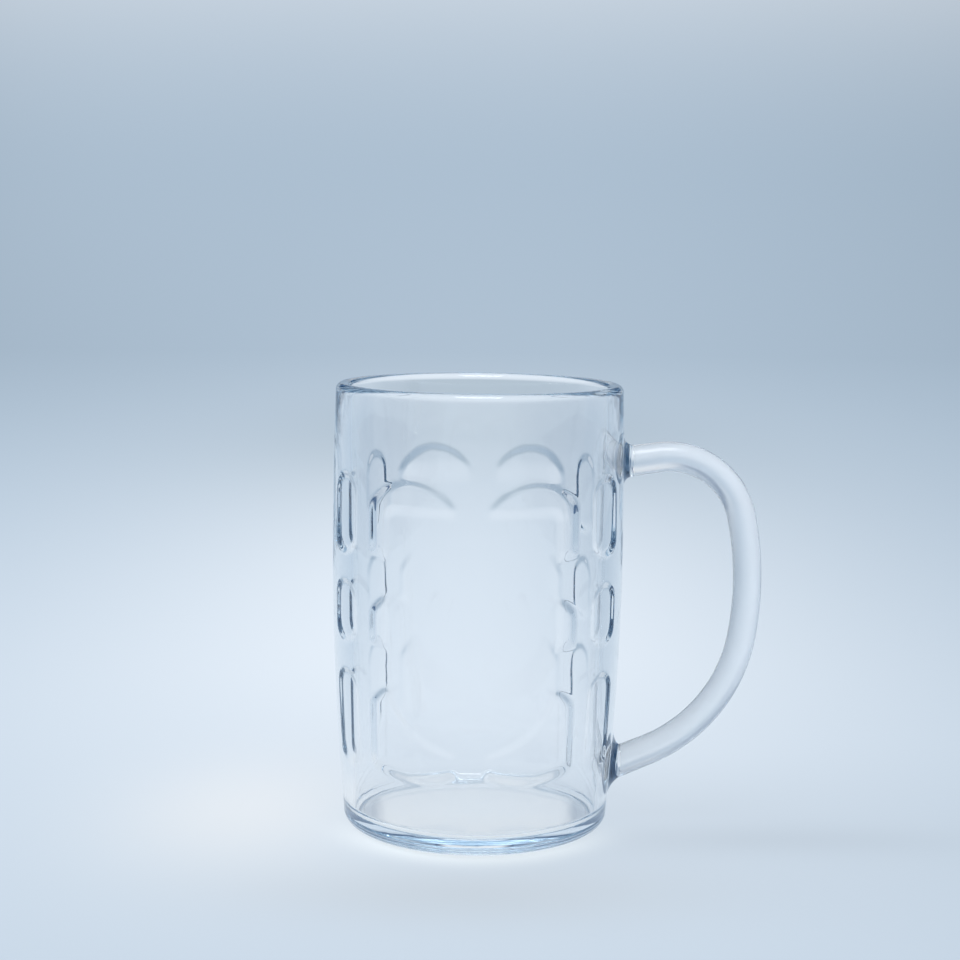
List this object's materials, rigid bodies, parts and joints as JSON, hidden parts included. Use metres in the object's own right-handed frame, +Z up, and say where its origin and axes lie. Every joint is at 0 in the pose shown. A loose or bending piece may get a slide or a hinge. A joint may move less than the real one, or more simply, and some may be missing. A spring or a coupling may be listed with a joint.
{
  "type": "plastic beer mug",
  "caption": "Clear plastic beer mug: round dimpled wall with a plain rim band and plain front and back panels, a thick bonded foot and a C-shaped round handle.",
  "frame": {"origin": "centre of the foot's flat underside, on the table", "axes": "+Z up along the mug's axis, +X towards the handle, -Y towards the front panel"},
  "size_m": [0.1354, 0.0916, 0.14],
  "materials": {
    "clear_plastic": "gloss"
  },
  "bodies": {
    "root": {"mug_body": "clear_plastic", "base_disc": "clear_plastic", "handle": "clear_plastic"}
  },
  "joints": []
}
